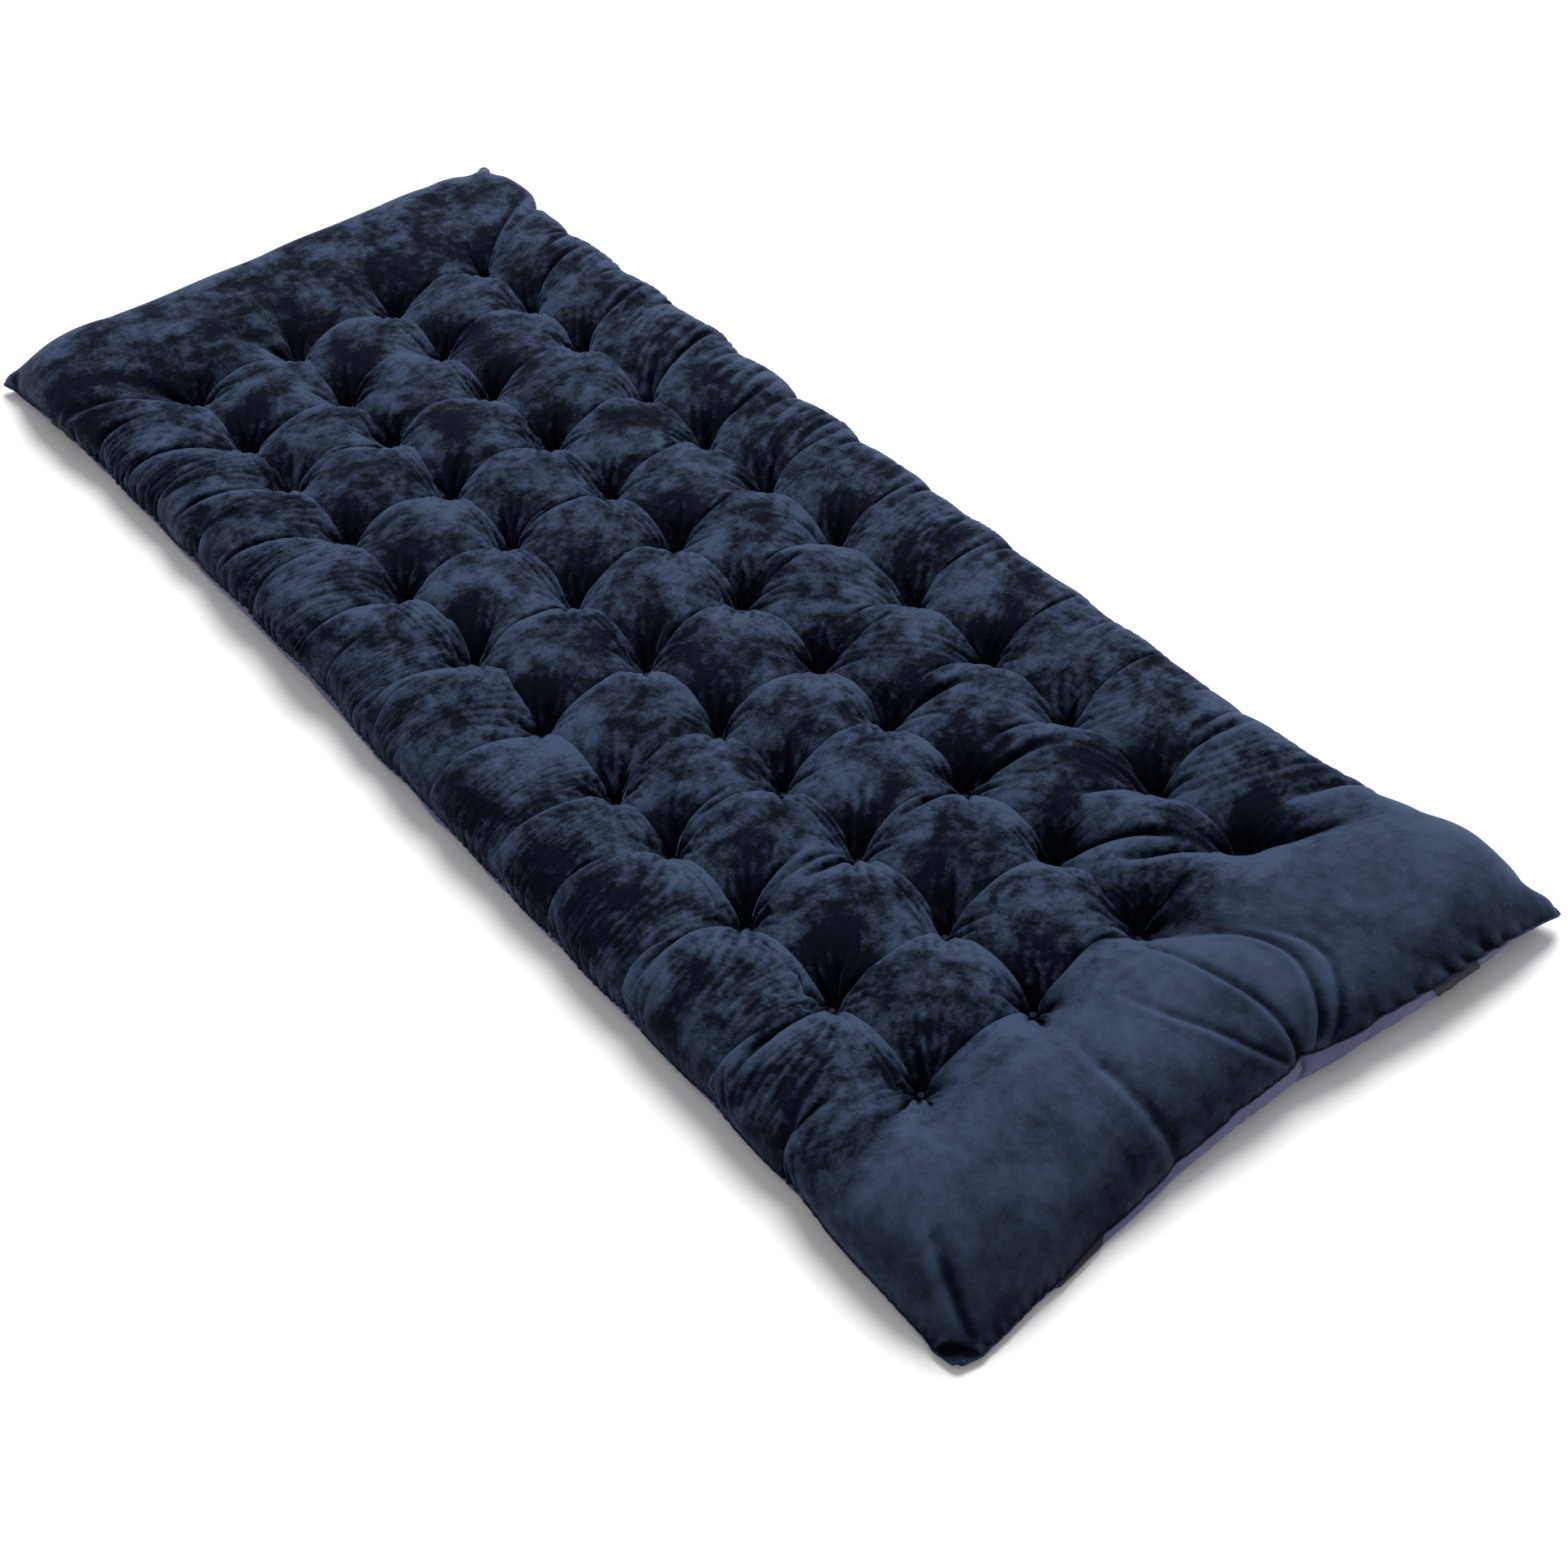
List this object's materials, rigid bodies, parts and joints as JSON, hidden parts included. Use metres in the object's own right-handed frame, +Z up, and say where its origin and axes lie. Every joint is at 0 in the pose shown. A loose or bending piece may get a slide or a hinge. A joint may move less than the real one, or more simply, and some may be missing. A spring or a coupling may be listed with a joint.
{
  "type": "futon mattress",
  "caption": "Thin tufted floor mattress with a velvet top, a plain underside, loose fibre filling, thread ties and elastic corner straps; folds in half for storage.",
  "frame": {"origin": "centre of the mattress's box, on the floor it lies on", "axes": "+Y towards the head end, along the length; +X to the right as seen from the foot end; +Z up"},
  "size_m": [0.75, 1.9, 0.083],
  "materials": {
    "velvet": "crushed velvet pile, dark navy",
    "underside_cloth": "plain woven, matte slate violet",
    "fibre": "loose off-white fibre",
    "thread": "twisted thread, dark navy",
    "elastic": "ribbed elastic webbing, black"
  },
  "bodies": {
    "head_half": {"top_cover_head": "velvet", "bottom_cover_head": "underside_cloth", "wadding_head": "fibre", "corner_strap_head_left": "elastic", "corner_strap_head_right": "elastic", "tuft_tie_r01_c1": "thread", "tuft_tie_r01_c2": "thread", "tuft_tie_r01_c3": "thread", "tuft_tie_r01_c4": "thread", "tuft_tie_r02_c1": "thread", "tuft_tie_r02_c2": "thread", "tuft_tie_r02_c3": "thread", "tuft_tie_r02_c4": "thread", "tuft_tie_r03_c1": "thread", "tuft_tie_r03_c2": "thread", "tuft_tie_r03_c3": "thread", "tuft_tie_r03_c4": "thread", "tuft_tie_r04_c1": "thread", "tuft_tie_r04_c2": "thread", "tuft_tie_r04_c3": "thread", "tuft_tie_r04_c4": "thread", "tuft_tie_r05_c1": "thread", "tuft_tie_r05_c2": "thread", "tuft_tie_r05_c3": "thread", "tuft_tie_r05_c4": "thread", "tuft_tie_r06_c1": "thread", "tuft_tie_r06_c2": "thread", "tuft_tie_r06_c3": "thread", "tuft_tie_r06_c4": "thread"},
    "foot_half": {"top_cover_foot": "velvet", "bottom_cover_foot": "underside_cloth", "wadding_foot": "fibre", "corner_strap_foot_left": "elastic", "corner_strap_foot_right": "elastic", "tuft_tie_r07_c1": "thread", "tuft_tie_r07_c2": "thread", "tuft_tie_r07_c3": "thread", "tuft_tie_r07_c4": "thread", "tuft_tie_r08_c1": "thread", "tuft_tie_r08_c2": "thread", "tuft_tie_r08_c3": "thread", "tuft_tie_r08_c4": "thread", "tuft_tie_r09_c1": "thread", "tuft_tie_r09_c2": "thread", "tuft_tie_r09_c3": "thread", "tuft_tie_r09_c4": "thread", "tuft_tie_r10_c1": "thread", "tuft_tie_r10_c2": "thread", "tuft_tie_r10_c3": "thread", "tuft_tie_r10_c4": "thread", "tuft_tie_r11_c1": "thread", "tuft_tie_r11_c2": "thread", "tuft_tie_r11_c3": "thread", "tuft_tie_r11_c4": "thread", "tuft_tie_r12_c1": "thread", "tuft_tie_r12_c2": "thread", "tuft_tie_r12_c3": "thread", "tuft_tie_r12_c4": "thread"}
  },
  "joints": [
    {"name": "mid_fold", "type": "hinge", "parent": "head_half", "child": "foot_half", "pos_m": [0, -0.034, 0.086], "axis": [-1, 0, 0], "range_deg": [0, 179]}
  ]
}
